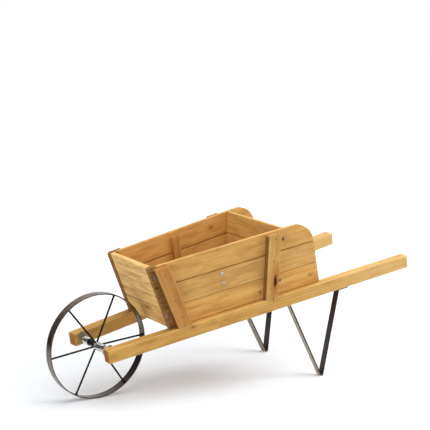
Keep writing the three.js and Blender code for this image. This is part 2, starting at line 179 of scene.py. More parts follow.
def plank(name, low, high, startAt, endAt, place, material, seed, stands=(), radius=1.0,
          ease=0.8, arcSteps=4, step=14.0, depth=0.18, ySteps=6, zSteps=2, yExtra=(), seams=(0, 0)):
    # A board: a rounded rectangle in (y, z) carried along x from startAt(y, z) to endAt(y, z). At each
    # end the outline draws in along a quarter circle, and then shrinks over the end face to its middle.
    # seams says which of its low and high edges meet another piece, where oil and dust darken them.
    outline, normal, arris = roundedLoop(low, high, radius, arcSteps, ySteps, zSteps, yExtra)
    seam = np.clip(-arris, 0, 1) * seams[0] + np.clip(arris, 0, 1) * seams[1]
    # Rounded edges that meet no other piece are marked to be lightened: wear, and a painted highlight along them.
    wornAndLitEdge = np.abs(arris) * (seam == 0)
    middle = (np.array(low) + np.array(high)) / 2
    ease = min(ease, radius * 0.9)
    length = float(endAt(*middle) - startAt(*middle))
    count = max(4, int(length / step))
    angles = np.radians(np.linspace(0, 90, 4))
    shrink = [0.25, 0.5, 0.75, 0.93]
    rings, ends, edges, joints = [], [], [], []

    def face(edgeAt, sign):
        made = []
        for part in shrink:
            spots = middle + (outline - normal * ease - middle) * part
            made.append((np.c_[edgeAt(spots[:, 0], spots[:, 1]) + 0 * spots[:, 0], spots], 1.0, 0.0))
        for angle in angles:
            spots = outline - normal * ease * (1 - math.sin(angle))
            x = edgeAt(spots[:, 0], spots[:, 1]) + sign * ease * (1 - math.cos(angle)) + 0 * spots[:, 0]
            made.append((np.c_[x, spots], math.cos(angle) ** 2, math.sin(2 * angle)))
        return made

    front, back = face(startAt, 1), face(endAt, -1)
    startX, endX = front[-1][0][:, 0], back[-1][0][:, 0]
    guard = 0.4 / max(length, 1)
    body = []
    for t in sorted([guard, *np.linspace(0, 1, count + 1)[1:-1], 1 - guard]):
        x = startX + (endX - startX) * t
        sink = handWork(x, outline[:, 0], outline[:, 1], seed, depth)
        spots = outline - normal * (sink * min(1, 12 * t, 12 * (1 - t)))[:, None]
        body.append((np.c_[x, spots], 0.0, 0.0))
    for spots, endMark, edgeMark in front + body + back[::-1]:
        rings.append(spots)
        ends.append(np.full(len(outline), endMark))
        edges.append(np.maximum(wornAndLitEdge * (1 - endMark), edgeMark))
        joints.append(seam)
    poles = [[float(edgeAt(*middle)), *middle] for edgeAt in (startAt, endAt)]
    marks = {"endGrain": np.array(ends), "arris": np.array(edges), "seam": np.array(joints)}
    return makePiece(name, np.array(rings), place, material, stands=stands, poles=poles, marks=marks)


def revolve(name, profile, place, material, sidesAround=48, poles=False, closeRows=False,
            body="frame", stands=(), dent=None):
    # A profile of (radius, height) turned round the Y axis. dent(radius, angle, height) gives the
    # share and the depth by which a point sinks along the axis, for a screw's drive cross; the share is
    # also kept as a mark where the screws get painted shade.
    profile = np.array(profile, float)
    angle = np.linspace(0, 2 * math.pi, sidesAround, endpoint=False)
    r, y = profile[:, 0][:, None], profile[:, 1][:, None]
    height = y + 0 * angle
    marks = {}
    if dent is not None:
        share, depth = dent(r + 0 * angle, angle + 0 * r, height)
        marks = {"recessShade": share}
        height = height + share * depth
    grid = np.stack([r * np.cos(angle), height, r * np.sin(angle)], -1)
    tips = None
    if poles:
        tips = [[0, height[0].mean(), 0], [0, height[-1].mean(), 0]]
    return makePiece(name, grid, place, material, body, stands, closeRows, tips, marks)


def roundedCorner(r, y, radius, startDegrees, steps=4):  # points of a quarter round in a profile
    return [(r + radius * math.cos(a), y + radius * math.sin(a))
            for a in np.radians(startDegrees + np.linspace(0, 90, steps + 1))]


def sweepPath(name, path, outline, material, place, stands=(), marks=None):
    # An outline in (across, normal) carried along a flat path in (x, z) whose normal follows its turns.
    path = np.array(path, float)
    step = np.gradient(path, axis=0)
    step /= np.linalg.norm(step, axis=1)[:, None]
    normal = np.stack([-step[:, 1], step[:, 0]], -1)
    rings = []
    for point, direction in zip(path, normal):
        flat = point[None, :] + outline[:, 1:2] * direction[None, :]
        rings.append(np.stack([flat[:, 0], outline[:, 0], flat[:, 1]], -1))
    grid = np.array(rings)
    tips = [grid[0].mean(0), grid[-1].mean(0)]
    return makePiece(name, grid, place, material, stands=stands, poles=tips, marks=marks)


# ---- wood ------------------------------------------------------------------------------------

# Oiled softwood: yellow early wood with browner late-wood rings, fine fibres and a soft satin oil.
woodLook = {
    "ringSpacing": 3.4,
    "ringWander": 3.2,
    "knotLight": "A04E14",
    "knotDark": "531A05",
    "seamColour": "6B370E",
    # colour of the painted shadow that the front batten throws on the boards ahead of it
    "battenShadowColour": "5A300A",
    # colour of the painted shade on a batten's front side
    "sawnColour": "5A2E08",
    # pale wear colour, also used for the painted light on edges and towards the handles
    "wearAndLightColour": "F0D69A",
    "endColour": "8E4E0E",
    "roughness": (0.5, 0.68),
    "specular": 0.16,
    "reliefDepth": 0.00022,
}


def softwood(name, tone, place, seed, pith=(12.0, -46.0), knots=(), endDark=0.35, battenShadowPatch=None, holes=(), ringDepth=0.6,
             frontFaceShade=0.0, wander=1.0, streaks=0.34, spacing=woodLook["ringSpacing"], wornAndLitEnd=None):
    # Planed, oiled fir. Rings are cylinders about a pith that lies off the board, so faces show
    # long streaks and ends show arcs. Ring spacing 3.4 mm, fibres 0.6 mm, streaks 5 mm.
    material, tree, shader = newMaterial(name)
    early, late, deep = (toLinear(colour) for colour in tone)
    location, rotation, _ = place.decompose()
    coords = addNode(tree, "TexCoord").outputs["Object"]
    local = addNode(tree, "Mapping", {
        "Vector": coords, "Location": location * mm, "Rotation": rotation.to_euler(), "Scale": (mm, mm, mm),
    }, vector_type="TEXTURE").outputs[0]
    split = addNode(tree, "SeparateXYZ", {0: local})
    moved = addNode(tree, "VectorMath", {0: local, 1: (seed * 137.0, seed * 61.0, seed * 29.0)},
                    operation="ADD").outputs[0]

    def scaled(x, y, z):
        return addNode(tree, "VectorMath", {0: moved, 1: (1 / x, 1 / y, 1 / z)}, operation="MULTIPLY").outputs[0]

    def noise(x, y, z, detail=2.0, rough=0.5):
        return addNode(tree, "TexNoise", {
            "Vector": scaled(x, y, z), "Scale": 1.0, "Detail": detail, "Roughness": rough}).outputs[0]

    def math2(operation, a, b=0.0, c=0.0):
        return addNode(tree, "Math", {0: a, 1: b, 2: c}, operation=operation).outputs[0]

    def ranged(value, lowIn, highIn, lowOut, highOut, smooth=True):
        return addNode(tree, "MapRange", {
            "Value": value, "From Min": lowIn, "From Max": highIn, "To Min": lowOut, "To Max": highOut,
        }, interpolation_type="SMOOTHSTEP" if smooth else "LINEAR").outputs[0]

    def mixed(factor, a, b, blend="MIX"):
        return addNode(tree, "Mix", {"Factor": factor, 6: a, 7: b}, data_type="RGBA",
                       blend_type=blend).outputs[2]

    drift = math2("MULTIPLY", noise(260 / wander, 34, 34, 1.5), woodLook["ringWander"] * 2 * wander)
    offY = math2("SUBTRACT", split.outputs[1], pith[0])
    offZ = math2("SUBTRACT", split.outputs[2], pith[1])
    radius = math2("SQRT", math2("ADD", math2("MULTIPLY", offY, offY), math2("MULTIPLY", offZ, offZ)))
    radius = math2("ADD", radius, drift)
    knotCores, knotHalos = [], []

    def awayFrom(x, y, stretch):  # distance over the face from (x, y), drawn out along the grain
        reach = addNode(tree, "VectorMath", {0: local, 1: (x, y, 0)}, operation="SUBTRACT").outputs[0]
        reach = addNode(tree, "VectorMath", {0: reach, 1: (1 / stretch, 1, 0)}, operation="MULTIPLY").outputs[0]
        return addNode(tree, "VectorMath", {0: reach}, operation="LENGTH").outputs["Value"]

    for x, y, size, stretch, _ in knots:
        away = awayFrom(x, y, stretch)
        rough = math2("ADD", away, math2("MULTIPLY", noise(9, 3, 3), size * 0.9))
        knotCores.append(ranged(rough, size * 0.95, size * 1.5, 1, 0))
        halo = ranged(away, size * 0.6, size * 3.6, 1, 0)
        knotHalos.append(halo)
        radius = math2("ADD", radius, math2("MULTIPLY", halo, size * 1.7))
    phase = math2("DIVIDE", radius, spacing)
    ring = addNode(tree, "ValToRGB", {0: math2("FRACT", phase)})
    for place_, value in ((0.0, 0.05), (0.5, 0.2), (0.84, 1.0), (0.97, 0.1)):
        stop = ring.color_ramp.elements.new(place_) if 0 < place_ < 0.97 else None
        if stop is None:
            stop = ring.color_ramp.elements[0 if place_ == 0.0 else -1]
            stop.position = place_
        stop.color = (value, value, value, 1)
    ringShare = math2("MULTIPLY", ring.outputs[0],
                      ranged(noise(300, 15, 15, 1.0), 0.25, 0.75, ringDepth * 0.25, ringDepth))
    streak = noise(230, 5.0, 5.0, 3.0, 0.6)
    fibre = noise(26, 0.6, 0.6, 2.0, 0.6)
    blotch = noise(80, 20, 20, 4.0, 0.55)
    colour = mixed(ringShare, early, late)
    colour = mixed(ranged(streak, 0.36, 0.66, 0.0, streaks), colour, late)
    colour = mixed(ranged(blotch, 0.44, 0.66, 0.0, 0.36), colour, deep)
    colour = mixed(ranged(fibre, 0.5, 0.75, 0.0, 0.3), colour, deep)
    for core, halo, (*_, depth) in zip(knotCores, knotHalos, knots):
        colour = mixed(math2("MULTIPLY", halo, depth * 0.6), colour, toLinear(woodLook["knotLight"]))
        colour = mixed(math2("MULTIPLY", core, depth), colour, toLinear(woodLook["knotDark"]))
    if battenShadowPatch:  # painted shadow of the front batten: the board from its slanting front edge to the batten is darkened, broken by crack-like noise: edge at y = 0, slope, depth, strength
        edgeAt, slope, depth, strength = battenShadowPatch
        behind = math2("SUBTRACT", math2("ADD", split.outputs[0], math2("MULTIPLY", split.outputs[1], slope)), edgeAt)
        cracks = ranged(noise(14, 1.6, 1.6, 3.0), 0.3, 0.62, strength, strength * 0.55)
        colour = mixed(math2("MULTIPLY", ranged(behind, depth, depth * 1.6, 1, 0), cracks), colour,
                       toLinear(woodLook["battenShadowColour"]))
    for x, y, size in holes:  # painted shade: a dark ring round each screw head, as the shadow at the rim of its countersink
        colour = mixed(ranged(awayFrom(x, y, 1), size, size * 1.4, 0.85, 0), colour, toLinear(woodLook["knotDark"]))
    if wornAndLitEnd:  # paler towards the end, partly hands wearing the oil off and partly painted light where the lamp brightens the handle end: from, to, share
        start, end, share = wornAndLitEnd
        colour = mixed(ranged(split.outputs[0], start, end, 0, share), colour, toLinear(woodLook["wearAndLightColour"]))
    if frontFaceShade:  # painted shade on the face at y = 0, the batten's front side, fading out by 1.6 mm
        colour = mixed(ranged(split.outputs[1], 0.6, 1.6, frontFaceShade, 0), colour, toLinear(woodLook["sawnColour"]))
    # Rounded edges and end rounds are lightened: wear, and a painted highlight along them.
    arris = addNode(tree, "Attribute", attribute_name="arris").outputs["Fac"]
    colour = mixed(math2("MULTIPLY", arris, 0.4), colour, toLinear(woodLook["wearAndLightColour"]))
    endGrain = addNode(tree, "Attribute", attribute_name="endGrain").outputs["Fac"]
    pores = ranged(noise(1.1, 1.1, 1.1, 3.0), 0.4, 0.65, endDark, min(1.0, endDark + 0.3))
    colour = mixed(math2("MULTIPLY", endGrain, pores), colour, toLinear(woodLook["endColour"]))
    seam = addNode(tree, "Attribute", attribute_name="seam").outputs["Fac"]
    seam = math2("MULTIPLY", seam, ranged(noise(45, 9, 9), 0.3, 0.6, 0.5, 0.92))
    colour = mixed(seam, colour, toLinear(woodLook["seamColour"]))
    height = math2("ADD", math2("MULTIPLY", ring.outputs[0], 0.35), fibre)
    bump = addNode(tree, "Bump", {
        "Height": height, "Strength": 0.35, "Distance": woodLook["reliefDepth"]}).outputs[0]
    tree.links.new(colour, shader.inputs["Base Color"])
    tree.links.new(bump, shader.inputs["Normal"])
    tree.links.new(ranged(streak, 0.3, 0.7, *woodLook["roughness"]), shader.inputs["Roughness"])
    sheen = math2("MULTIPLY", math2("SUBTRACT", 1.0, seam), woodLook["specular"])
    tree.links.new(sheen, shader.inputs["Specular IOR Level"])
    return material


# ---- the cart's own frames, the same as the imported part's --------------------------------------

cart = {
    "wheelX": -378.84, "wheelRadius": 140.0, "railSpacing": 154.0, "railSplay": 5.0, "railClimb": 10.6,
    "railLength": 935.0, "railWidth": 30.0, "railHeight": 35.0, "railNose": 21.0, "seatGap": 0.3,
    "endGap": 0.5,
}
box = {
    "thickness": 12.0, "widths": (57.0, 61.5, 58.5), "joint": 0.5, "lean": 2.0,
    "frontFoot": 165.5, "frontTop": 126.5, "rearFoot": 631.5, "rearTop": 624.5, "rearRound": 57.0,
    "frontRecess": 3.0, "rearPanelFoot": 501.5, "rearPanelTop": 539.0,
}
boxHeight = sum(box["widths"])


def atHeight(foot, top, h):
    return foot + (top - foot) * h / boxHeight


def frontEdge(h):
    return atHeight(box["frontFoot"], box["frontTop"], h)


def frontPanel(h):
    return frontEdge(h) + box["frontRecess"]


def rearPanel(h):
    return atHeight(box["rearPanelFoot"], box["rearPanelTop"], h)


railFrame, sideFrame = {}, {}
for side, sign in sides.items():
    spot = shift(cart["wheelX"], sign * cart["railSpacing"] / 2, cart["wheelRadius"])
    railFrame[side] = spot @ turn("Z", sign * cart["railSplay"]) @ turn("Y", -cart["railClimb"])
    lift = box["thickness"] * math.sin(math.radians(box["lean"])) + cart["seatGap"]
    sideFrame[side] = railFrame[side] @ shift(0, 0, cart["railHeight"] / 2 + lift) @ turn("X", -sign * box["lean"])

# Columns of a board's frame: its grain, its width and its thickness.
onSide = Matrix(((1, 0, 0, 0), (0, 0, -1, 0), (0, 1, 0, 0), (0, 0, 0, 1)))

print("cart frames set")

# ---- rails -------------------------------------------------------------------------------------

rails = {"tone": ("DAAA5D", "B67A32", "9E6424"), "endDark": {"left": 0.8, "right": 0.55}, "corner": 2.6, "ease": 2.2, "pith": (34.0, -60.0),
         # the last entry: where the rails turn paler towards the handles, both wear and painted light
         "wornAndLitEnd": (450.0, 900.0, 0.27)}
railKnots = {"left": ((226.0, 10.0, 4.4, 1.3, 0.5), (780.0, 16.0, 1.2, 1.5, 0.6)),
             "right": ((420.0, -6.0, 3.0, 1.5, 0.6), (640.0, 6.0, 3.5, 1.5, 0.6))}

for seed, (side, sign) in enumerate(sides.items()):
    zLow, zHigh = sorted((0.0, -sign * cart["railWidth"]))
    half = cart["railHeight"] / 2
    place = railFrame[side] @ onSide
    wood = softwood(f"oiled fir rail {side}", rails["tone"], place, 3.1 + seed,
                    (rails["pith"][0], -sign * rails["pith"][1]), railKnots[side], endDark=rails["endDark"][side],
                    ringDepth=0.45, streaks=0.3, wornAndLitEnd=rails["wornAndLitEnd"])
    plank(f"rail_{side}_bar", (-half, zLow), (half, zHigh), lambda y, z: -cart["railNose"],
          lambda y, z: cart["railLength"] - cart["railNose"], place, wood, 11 + seed,
          (f"rail_{side}",), rails["corner"], rails["ease"], 6, 12.0, 0.3, 5, 5)
print("rails made")

# ---- side boards, battens, cleats and ledgers --------------------------------------------------

boards = {
    "tones": (("E9B668", "C4863E", "AD702C"), ("E1B26B", "BF8640", "A9722F"), ("E2B066", "BD823C", "A86F2D")),
    "corner": 1.5, "ease": 1.0,
    "knots": {"left": (((444.0, 21.4, 2.3, 1.4, 0.75), (605.0, 25.7, 3.0, 1.3, 0.5)), (), ()),
              "right": (((250.0, 30.0, 3.0, 1.5, 0.7),), ((560.0, 90.0, 2.6, 1.5, 0.6),),
                        ((470.0, 150.0, 3.0, 1.5, 0.6),))},
    # the first value on the next line is the strength of the painted shadow of the front batten near the boards' front
    # edge
    "frontBattenShadow": 0.95, "joints": (1.0, 0.4, 1.0, 0.0),
    # along, up and radius of each painted shade ring round a screw head
    "holes": ((140.9, 147.0, 4.4), (168.5, 37.0, 4.4), (533.0, 149.0, 3.6), (509.0, 37.6, 3.6),
              (339.0, 105.8, 4.3), (339.0, 78.9, 4.3)),
}
rearTilt = math.atan2(box["rearTop"] - box["rearFoot"], boxHeight)


def roundedRear(y, z):  # the rear edge of the top board: straight, then a quarter round to its top
    bend = box["rearRound"]
    middle = atHeight(box["rearFoot"], box["rearTop"], boxHeight) - bend * (1 / math.cos(rearTilt) + math.tan(rearTilt))
    bend -= 0.1
    level = boxHeight - box["rearRound"]
    straight = atHeight(box["rearFoot"], box["rearTop"], y)
    arc = middle + np.sqrt(np.clip(bend ** 2 - (y - level) ** 2, 0, None))
    return np.where(y > level + bend * math.sin(-rearTilt), arc, straight)


for side, sign in sides.items():
    base = 0.0
    for i, width in enumerate(box["widths"]):
        low = base if i == 0 else base + box["joint"]
        high = base + width
        zLow, zHigh = sorted((0.0, -sign * box["thickness"]))
        place = sideFrame[side] @ onSide
        rounded = i == len(box["widths"]) - 1
        fine = high - box["rearRound"] * (1 - np.cos(np.radians(np.arange(6, 90, 5)))) if rounded else ()
        holes = [hole for hole in boards["holes"] if low < hole[1] < high]
        wood = softwood(f"oiled fir side board {side} {i + 1}", boards["tones"][i], place,
                        20 + i * 3.7 + sign, (low + 20.0 + 17 * i, sign * 52.0), boards["knots"][side][i],
                        battenShadowPatch=(box["frontFoot"], (box["frontFoot"] - box["frontTop"]) / boxHeight, 21.0, boards["frontBattenShadow"]),
                        holes=holes, ringDepth=0.45)
        plank(f"side_{side}_{i + 1}", (low, zLow), (high, zHigh), lambda y, z: frontEdge(y),
              roundedRear if rounded else lambda y, z: atHeight(box["rearFoot"], box["rearTop"], y),
              place, wood, 31 + i + 5 * sign, (f"side_board_{side}_{i + 1}",),
              boards["corner"], boards["ease"], 4, 12.0, 0.2, 8, 2, tuple(fine), boards["joints"][i:i + 2])
        base = high

battens = {
    "tone": ("CF9550", "AA6E31", "905824"), "rearTone": ("DCAD64", "B7823F", "99662E"),
    "front": (184.5, 138.5, 41.5), "rear": (449.5, 482.0, 38.5), "topDrop": 2.5, "topCorner": 4.0,
    "corner": 1.2, "ease": 1.0, "knots": {"front": (), "rear": ((52.0, 26.0, 6.2, 3.4, 1.0),)},
}
battenDepth = cart["railWidth"] - box["thickness"] - cart["seatGap"]


def addBatten(side, sign, label):
    # The batten's grain runs up its own slope; its foot and top are cut level with the rail.
    foot, top, width = battens[label]
    lean = np.array([top - foot, boxHeight])
    lean /= np.linalg.norm(lean)
    upFrame = Matrix(((lean[0], lean[1], 0, foot), (0, 0, 1, 0), (lean[1], -lean[0], 0, 0), (0, 0, 0, 1)))
    place = sideFrame[side] @ upFrame
    low = battenDepth * math.tan(math.radians(box["lean"]))
    high = boxHeight - battens["topDrop"]
    across = width * lean[1]
    zLow, zHigh = sorted((sign * (box["thickness"] + cart["seatGap"]), sign * cart["railWidth"]))
    corner = battens["topCorner"]

    def topEdge(y, z):
        near = np.clip(corner - np.minimum(y, across - y), 0, corner)
        drop = corner - np.sqrt(corner ** 2 - near ** 2)
        return (high + lean[0] * y) / lean[1] - drop

    tone = battens["tone"] if label == "front" else battens["rearTone"]
    # The batten's front narrow face is darkened as painted shade.
    wood = softwood(f"oiled fir batten {side} {label}", tone, place, 40 + sign * 2.3 + len(label),
                    (width / 2, -sign * 40.0), battens["knots"][label] if side == "left" else (), frontFaceShade=0.75)
    plank(f"batten_{side}_{label}_strip", (0.0, zLow), (across, zHigh),
          lambda y, z: (low + lean[0] * y) / lean[1], topEdge, place, wood,
          51 + sign + len(label), (f"batten_{side}_{label}",), battens["corner"], battens["ease"],
          4, 10.0, 0.2, 10, 3)


inside = {"ledger": 12.0, "ledgerGap": 2.0, "slats": 5, "slatThickness": 9.0, "slatGap": 12.0,
          "cleatPlace": 339.0, "cleatWidth": 22.0, "cleatThickness": 12.0, "cleatDrop": 12.0,
          "tone": ("CF9A58", "A86F33", "8F5A26")}
frontStretch = math.hypot(1, (box["frontTop"] - box["frontFoot"]) / boxHeight)
rearStretch = math.hypot(1, (box["rearPanelTop"] - box["rearPanelFoot"]) / boxHeight)
ledgerStart = frontPanel(0) + box["thickness"] * frontStretch + inside["ledgerGap"]
ledgerEnd = rearPanel(0) - box["thickness"] / 2 * rearStretch - inside["ledgerGap"]
slatTop = inside["ledger"] + inside["slatThickness"] + 2 * cart["seatGap"]

for side, sign in sides.items():
    for label in ("front", "rear"):
        addBatten(side, sign, label)
    place = sideFrame[side] @ onSide
    zLow, zHigh = sorted((sign * cart["seatGap"], sign * (cart["seatGap"] + inside["ledger"])))
    wood = softwood(f"oiled fir ledger {side}", inside["tone"], place, 60 + sign)
    plank(f"ledger_{side}_strip", (0.0, zLow), (inside["ledger"], zHigh), lambda y, z: ledgerStart,
          lambda y, z: ledgerEnd, place, wood, 61 + sign, (f"ledger_{side}",), 0.8, 0.6, 3, 20.0, 0.1, 2, 2)
    bottom = slatTop + cart["endGap"] + inside["ledger"] * math.sin(math.radians(box["lean"]))
    upright = Matrix(((0, 1, 0, inside["cleatPlace"] - inside["cleatWidth"] / 2), (0, 0, 1, 0), (1, 0, 0, 0), (0, 0, 0, 1)))
    place = sideFrame[side] @ upright
    zLow, zHigh = sorted((-sign * cart["seatGap"], -sign * (cart["seatGap"] + inside["cleatThickness"])))
    wood = softwood(f"oiled fir cleat {side}", inside["tone"], place, 66 + sign)
    plank(f"cleat_{side}_strip", (0.0, zLow), (inside["cleatWidth"], zHigh), lambda y, z: bottom,
          lambda y, z: boxHeight - inside["cleatDrop"], place, wood, 67 + sign,
          (f"cleat_{side}",), 1.0, 0.8, 3, 20.0, 0.1, 3, 2)
print("side boards, battens, ledgers and cleats made")

# ---- boards that run across --------------------------------------------------------------------

panels = {
    "front": (("FFD584", "BB6B24", "904413"), ("FFDA8C", "C3762E", "9C501C"), ("FFD88E", "C88338", "9F5821")),
    "rear": (("DBAB64", "BA823C", "9F6C2E"), ("DFB16B", "BF883F", "A26F31"), ("DDAE66", "BC843D", "A06E2F")),
    "corner": 1.3, "ease": 0.8, "seam": 0.7,
    "frontKnots": (((-12.0, 40.0, 3.2, 5.0, 0.6),), (), ()),
}


def crossFrame(start, end, insideBy=0.0):
    # Its grain is the cart's Y, its width climbs from one (along, up) place on the left side's inner
    # face to another, and its thickness is square to both.
    spots = [sideFrame["left"] @ Vector((along, insideBy, up)) for along, up in (start, end)]
    for spot_ in spots:
        spot_.y = 0
    climb = spots[1] - spots[0]
    length = climb.length
    climb.normalize()
    across = Vector((0, 1, 0))
    thick = across.cross(climb)
    columns = Matrix((across, climb, thick)).transposed().to_4x4()
    return Matrix.Translation(spots[0]) @ columns, length


def wallAt(place, sign):
    # Where a cross board's own x meets the inner face of one side, less the end gap.
    side = sideFrame["left" if sign < 0 else "right"]
    normal = side.to_3x3() @ Vector((0, 1, 0))
    point = side @ Vector((0, -sign * cart["endGap"], 0))
    rows = place.to_3x3()
    n = [normal.dot(rows.col[i]) for i in range(3)]
    level = normal.dot(point - place.translation)
    return lambda y, z: (level - y * n[1] - z * n[2]) / n[0]


def addPanel(label, foot, top, depth):
    place, length = crossFrame((foot, 0), (top, boxHeight))
    grow = length / boxHeight
    base = 0.0
    for i, width in enumerate(box["widths"]):
        low = base if i == 0 else base + box["joint"]
        high = base + width * grow
        knots = panels["frontKnots"][i] if label == "front" else ()
        wood = softwood(f"oiled fir {label} board {i + 1}", panels[label][i], place, 70 + i * 4.1 + len(label),
                        (low + 34.0 - 9 * i, -22.0), knots, wander=2.6, streaks=0.2, ringDepth=0.7,
                        spacing=6.5)
        plank(f"{label}_panel_{i + 1}", (low, depth[0]), (high, depth[1]), wallAt(place, -1), wallAt(place, 1),
              place, wood, 71 + i + len(label), (f"{label}_board_{i + 1}",),
              panels["corner"], panels["ease"], 4, 12.0, 0.2, 8, 2, (),
              (0 if i == 0 else panels["seam"], 0 if i == 2 else panels["seam"]))
        base = high


addPanel("front", frontPanel(0), frontPanel(boxHeight), (0.0, box["thickness"]))
addPanel("rear", box["rearPanelFoot"], box["rearPanelTop"], (-box["thickness"] / 2, box["thickness"] / 2))

floorFrame, floorLength = crossFrame((ledgerStart, inside["ledger"]), (ledgerEnd, inside["ledger"]),
                                     inside["ledger"] + cart["seatGap"])
slatPitch = (floorLength + inside["slatGap"]) / inside["slats"]
for i in range(inside["slats"]):
    low = i * slatPitch
    wood = softwood(f"oiled fir slat {i + 1}", inside["tone"], floorFrame, 80 + i * 2.9, (low + 20.0, -30.0))
    plank(f"slat_{i + 1}", (low, -cart["seatGap"] - inside["slatThickness"]),
          (low + slatPitch - inside["slatGap"], -cart["seatGap"]), wallAt(floorFrame, -1), wallAt(floorFrame, 1),
          floorFrame, wood, 81 + i, (f"floor_slat_{i + 1}",), 0.9, 0.6, 3, 16.0, 0.15, 4, 2)
print("cross boards and slats made")

# ---- metal finishes ----------------------------------------------------------------------------


def metalFinish(name, colours, metallic, roughness, grain, relief, ior=None, marked=None, inner=None):
    # Two tones mixed by a patchy noise, a finer noise for gloss and relief. grain is in millimetres.
    # marked is an attribute and the colour it draws in, used here for painted shade and painted light. inner is a
    # darker colour, painted shade, for all that lies nearer the wheel's axis than a radius.
    material, tree, shader = newMaterial(name)
    coords = addNode(tree, "TexCoord").outputs["Object"]
    patchy = addNode(tree, "TexNoise", {"Vector": coords, "Scale": 1000 / grain, "Detail": 4.0}).outputs[0]
    fine = addNode(tree, "TexNoise", {"Vector": coords, "Scale": 6000 / grain, "Detail": 3.0}).outputs[0]
    share = addNode(tree, "MapRange", {"Value": patchy, "From Min": 0.38, "From Max": 0.64}).outputs[0]
    colour = addNode(tree, "Mix", {"Factor": share, 6: toLinear(colours[0]), 7: toLinear(colours[1])},
                     data_type="RGBA").outputs[2]
    gloss = addNode(tree, "MapRange", {"Value": fine, "From Min": 0.3, "From Max": 0.7,
                                       "To Min": roughness[0], "To Max": roughness[1]}).outputs[0]
    bump = addNode(tree, "Bump", {"Height": fine, "Strength": 0.3, "Distance": relief * mm}).outputs[0]
    if inner:
        # The band's inner face is painted darker, as shade.
        spoke = addNode(tree, "VectorMath", {0: coords, 1: (-cart["wheelX"] * mm, 0, -cart["wheelRadius"] * mm)},
                        operation="ADD").outputs[0]
        spoke = addNode(tree, "VectorMath", {0: spoke, 1: (1, 0, 1)}, operation="MULTIPLY").outputs[0]
        reach = addNode(tree, "VectorMath", {0: spoke}, operation="LENGTH").outputs["Value"]
        insideShadeShare = addNode(tree, "MapRange", {"Value": reach, "From Min": inner[1] * mm, "From Max": (inner[1] + 0.5) * mm,
                                             "To Min": 1.0, "To Max": 0.0}).outputs[0]
        colour = addNode(tree, "Mix", {"Factor": insideShadeShare, 6: colour, 7: toLinear(inner[0])}, data_type="RGBA").outputs[2]
    tree.links.new(colour, shader.inputs["Base Color"])
    tree.links.new(gloss, shader.inputs["Roughness"])
    tree.links.new(bump, shader.inputs["Normal"])
    if marked:
        markShare = addNode(tree, "Attribute", attribute_name=marked[0]).outputs["Fac"]
        colour = addNode(tree, "Mix", {"Factor": markShare, 6: colour, 7: toLinear(marked[1])}, data_type="RGBA").outputs[2]
        tree.links.new(colour, shader.inputs["Base Color"])
    shader.inputs["Metallic"].default_value = metallic
    if ior is not None:
        shader.inputs["IOR"].default_value = ior
    return material


# Brown-black stove enamel on flat bar, with a satin gloss. The front branches' wide faces get painted light, an olive
# grey for the light they catch from the floor.
legPaint = metalFinish("brown stove enamel on flat bar", ("2A1A10", "382619"), 0.0, (0.2, 0.3), 9.0, 0.03, 1.38,
                       marked=("pale", "91866F"))
# Hot-rolled band with a thin brown lacquer: grey-brown and half bright, with painted shade on its inner face.
rimMetal = metalFinish("brown lacquered steel band", ("74665B", "5E5047"), 0.9, (0.18, 0.28), 14.0, 0.015,
                       inner=("4A3D35", 138.6))
# Black lacquered wire rod.
rodPaint = metalFinish("black lacquered steel rod", ("0E0806", "17100C"), 0.0, (0.35, 0.5), 6.0, 0.03, 1.27)
# Bright zinc plating on turned steel: nearly white, with faint cloudy grain.
zincPlate = metalFinish("bright zinc plated steel", ("E0E1DD", "C6C8C5"), 1.0, (0.07, 0.16), 5.0, 0.01)
# Zinc gone dull and beige on the two plates against the rails.
platePaint = metalFinish("dull beige zinc on flat plate", ("A59C86", "8C846F"), 0.4, (0.4, 0.55), 7.0, 0.02)
# Zinc on pressed screw heads: bright at the front, gone blue-grey at the rear, and bright pan heads. Each head's cross
# is darkened as painted shade.
screwZinc = {
    "front": metalFinish("bright zinc countersunk screw", ("E6E4DF", "BFC0C2"), 0.6, (0.2, 0.3), 2.0, 0.01, marked=("recessShade", "17130F")),
    "rear": metalFinish("blue-grey zinc screw", ("A3A6B0", "7F838D"), 1.0, (0.24, 0.36), 2.0, 0.01, marked=("recessShade", "17130F")),
    "pan": metalFinish("bright zinc pan head screw", ("F4F3EE", "E6E6E1"), 0.3, (0.2, 0.34), 2.0, 0.01, marked=("recessShade", "8F8E8A")),
}
# Plain steel nail and staple wire, darkened by the oil.
nailSteel = metalFinish("darkened steel wire", ("5A4C47", "3B2F2C"), 0.8, (0.35, 0.5), 2.0, 0.02)

# ---- legs --------------------------------------------------------------------------------------

strap = {"width": 20.0, "thickness": 4.0, "bend": 2.0, "front": 525.5, "spread": 160.0, "inset": 11.6,
         "lean": 3.2, "flange": 30.0, "tenon": 12.0, "screwPlace": 18.0, "corner": 1.0}


def bentLine(points, radius, steps=18):
    # Straight runs joined by arcs of one radius, as points close together.
    points = [np.array(p, float) for p in points]
    line = []
    for i, point in enumerate(points):
        if i in (0, len(points) - 1):
            line.append([point])
            continue
        into = (point - points[i - 1]) / np.linalg.norm(point - points[i - 1])
        out = (points[i + 1] - point) / np.linalg.norm(points[i + 1] - point)
        bendBy = math.atan2(into[0] * out[1] - into[1] * out[0], into @ out)
        start = point - into * radius * math.tan(abs(bendBy) / 2)
        centre = start + np.array([-into[1], into[0]]) * math.copysign(radius, bendBy)
        arm = start - centre
        angles = np.linspace(0, bendBy, steps + 1)
        line.append([centre + np.array([arm[0] * math.cos(a) - arm[1] * math.sin(a),
                                        arm[0] * math.sin(a) + arm[1] * math.cos(a)]) for a in angles])
    joined = []
    for i, run in enumerate(line):
        if i:
            first, last = joined[-1], run[0]
            count = max(2, int(np.linalg.norm(last - first) / 8))
            joined += [first + (last - first) * t for t in np.linspace(0, 1, count + 1)[1:-1]]
            joined += [first + (last - first) * 0.995]
        joined += list(run)
    return np.array(joined)


